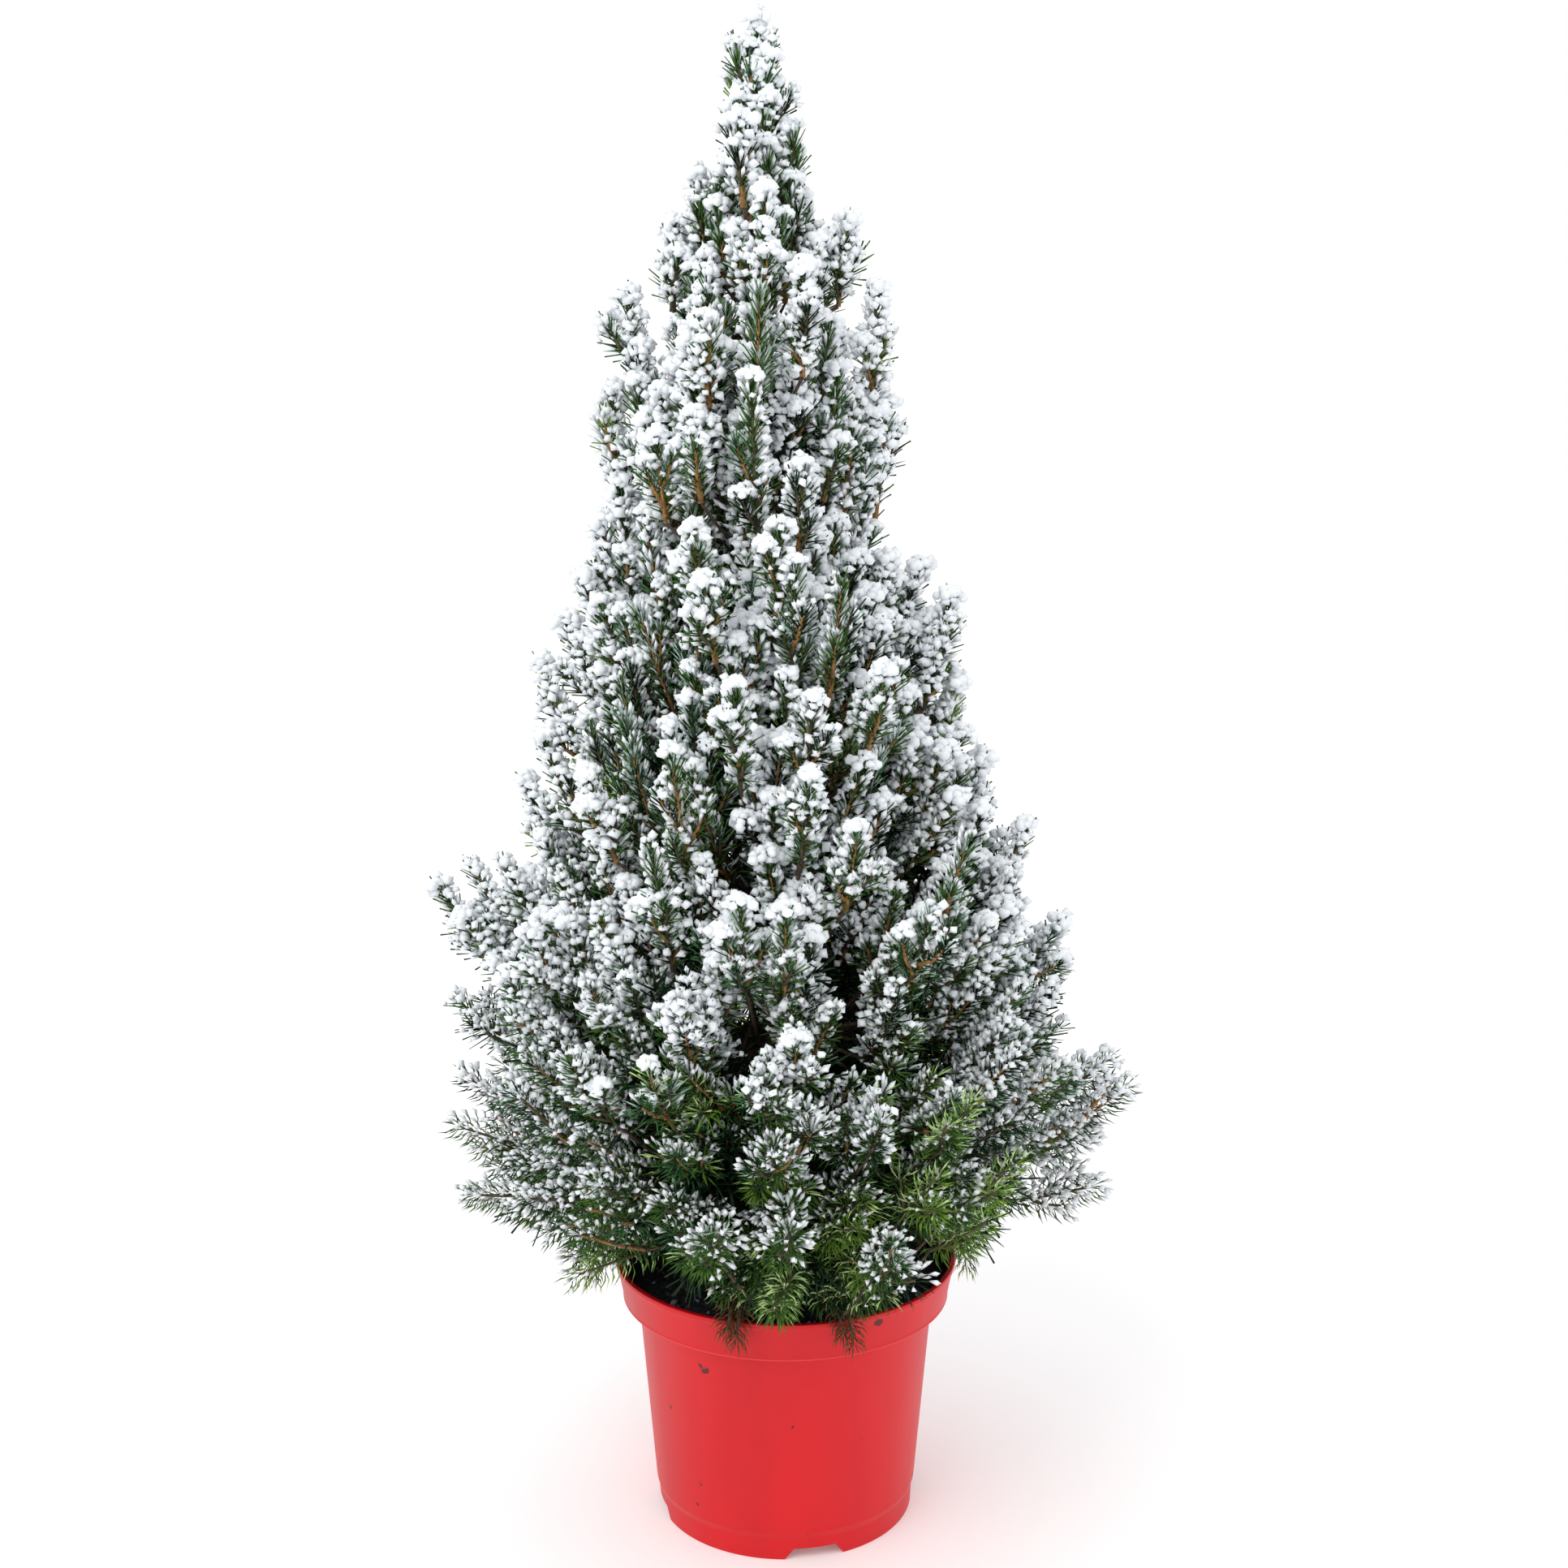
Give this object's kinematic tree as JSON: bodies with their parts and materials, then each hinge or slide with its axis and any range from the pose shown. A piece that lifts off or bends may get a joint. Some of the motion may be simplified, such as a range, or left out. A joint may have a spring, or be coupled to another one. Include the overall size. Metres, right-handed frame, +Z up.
{
  "type": "potted dwarf alberta spruce",
  "caption": "Snow-dusted conical dwarf spruce, its needled boughs standing in tiers round one leaning trunk, filling a round red plastic nursery pot.",
  "frame": {"origin": "centre of the flat underside of the pot, on the ground", "axes": "+Z up along the trunk; the front, with the drain notch a little right of its middle, faces -Y; +X to the right seen from the front"},
  "size_m": [0.3786, 0.3598, 0.806],
  "materials": {
    "pot_plastic": "satin red injection-moulded plastic",
    "soil": "moist dark peat compost",
    "bark": "rough brown bark",
    "snowy_needles": "dark green needles under patches of snow"
  },
  "bodies": {
    "root": {"pot": "pot_plastic", "soil": "soil", "trunk": "bark", "bough_1_1": "bark", "bough_1_2": "bark", "bough_1_3": "bark", "bough_1_4": "bark", "bough_1_5": "bark", "bough_2_1": "bark", "bough_2_2": "bark", "bough_2_3": "bark", "bough_2_4": "bark", "bough_2_5": "bark", "bough_3_1": "bark", "bough_3_2": "bark", "bough_3_3": "bark", "bough_3_4": "bark", "bough_3_5": "bark", "bough_4_1": "bark", "bough_4_2": "bark", "bough_4_3": "bark", "bough_4_4": "bark", "bough_5_1": "bark", "bough_5_2": "bark", "bough_5_3": "bark", "bough_6_1": "bark", "bough_6_2": "bark", "bough_6_3": "bark", "bough_7_1": "bark", "bough_7_2": "bark", "bough_7_3": "bark", "foliage_1_1": "snowy_needles", "foliage_1_2": "snowy_needles", "foliage_1_3": "snowy_needles", "foliage_1_4": "snowy_needles", "foliage_1_5": "snowy_needles", "foliage_2_1": "snowy_needles", "foliage_2_2": "snowy_needles", "foliage_2_3": "snowy_needles", "foliage_2_4": "snowy_needles", "foliage_2_5": "snowy_needles", "foliage_3_1": "snowy_needles", "foliage_3_2": "snowy_needles", "foliage_3_3": "snowy_needles", "foliage_3_4": "snowy_needles", "foliage_3_5": "snowy_needles", "foliage_4_1": "snowy_needles", "foliage_4_2": "snowy_needles", "foliage_4_3": "snowy_needles", "foliage_4_4": "snowy_needles", "foliage_5_1": "snowy_needles", "foliage_5_2": "snowy_needles", "foliage_5_3": "snowy_needles", "foliage_6_1": "snowy_needles", "foliage_6_2": "snowy_needles", "foliage_6_3": "snowy_needles", "foliage_7_1": "snowy_needles", "foliage_7_2": "snowy_needles", "foliage_7_3": "snowy_needles", "foliage_leader": "snowy_needles"}
  },
  "joints": []
}
